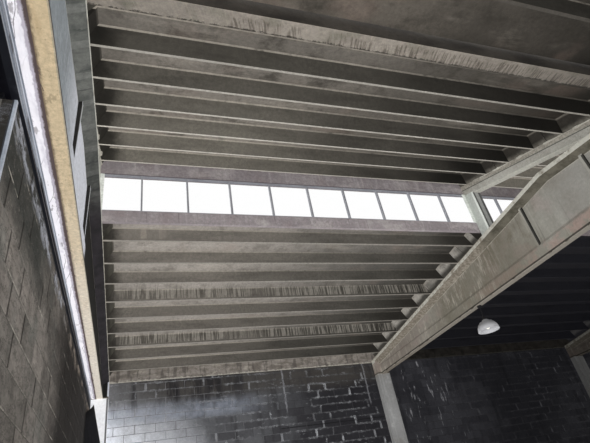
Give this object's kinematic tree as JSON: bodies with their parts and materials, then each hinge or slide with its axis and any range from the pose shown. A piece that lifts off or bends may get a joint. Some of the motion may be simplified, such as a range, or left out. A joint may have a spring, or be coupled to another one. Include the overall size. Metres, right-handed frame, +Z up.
{
  "type": "precast concrete workshop hall",
  "caption": "Workshop hall of precast columns, double-pitch girders and ribbed roof units, with a raised window band, block walls and a sliding gable door.",
  "frame": {"origin": "on the ground, in the middle of the hall under the ridge", "axes": "+X along the hall from the gable with the door to the plain gable, +Y across it to the wall that the window band faces, +Z up"},
  "size_m": [25.2, 16.76, 7.8499],
  "materials": {
    "column_concrete": "cast, matt",
    "girder_concrete": "cast against boards, stained",
    "frame_concrete": "cast, matt, pale",
    "roof_concrete": "cast in steel moulds, streaked",
    "edge_beam_concrete": "cast, pale with dark drips",
    "blockwork": "blocks with pale mortar joints",
    "eave_concrete": "cast, matt",
    "sill_concrete": "cast, mottled",
    "window_metal": "satin",
    "window_glass": "clear",
    "packing": "bitumen felt, matt",
    "zinc_steel": "zinc coated, dull",
    "white_board": "white foam, matt",
    "door_paint": "satin",
    "lamp_enamel": "gloss",
    "dark_enamel": "matt",
    "lamp_glass": "opal"
  },
  "bodies": {
    "hall": {"columns": "column_concrete", "girder_1": "girder_concrete", "girder_2": "girder_concrete", "girder_3": "girder_concrete", "girder_4": "girder_concrete", "raised_frame_1": "frame_concrete", "raised_frame_2": "frame_concrete", "raised_frame_3": "frame_concrete", "raised_frame_4": "frame_concrete", "far_roof_bay_1": "roof_concrete", "far_roof_bay_2": "roof_concrete", "far_roof_bay_3": "roof_concrete", "near_roof_bay_1": "roof_concrete", "near_roof_bay_2": "roof_concrete", "near_roof_bay_3": "roof_concrete", "raised_roof_bay_1": "roof_concrete", "raised_roof_bay_2": "roof_concrete", "raised_roof_bay_3": "roof_concrete", "roof_edge_beams": "edge_beam_concrete", "far_wall_bay_1": "blockwork", "far_wall_bay_2": "blockwork", "far_wall_bay_3": "blockwork", "near_wall_bay_1": "blockwork", "near_wall_bay_2": "blockwork", "near_wall_bay_3": "blockwork", "eave_beams": "eave_concrete", "window_sills": "sill_concrete", "window_heads": "sill_concrete", "window_frames": "window_metal", "window_glass": "window_glass", "left_wall": "blockwork", "left_wall_packing": "packing", "left_lintel": "eave_concrete", "left_rails": "zinc_steel", "left_gap_boards": "white_board", "left_gable_top": "blockwork", "right_wall": "blockwork", "raised_cheeks": "eave_concrete", "door_jamb_angles": "zinc_steel", "door_track": "zinc_steel", "lamp_rod": "dark_enamel", "lamp_dome": "lamp_enamel", "lamp_bulb": "lamp_glass"},
    "door": {"door_leaf": "door_paint", "door_trolleys": "zinc_steel"}
  },
  "joints": [
    {"name": "door_slide", "type": "slide", "parent": "hall", "child": "door", "axis": [0, 1, 0], "range_m": [0, 4.1]}
  ]
}
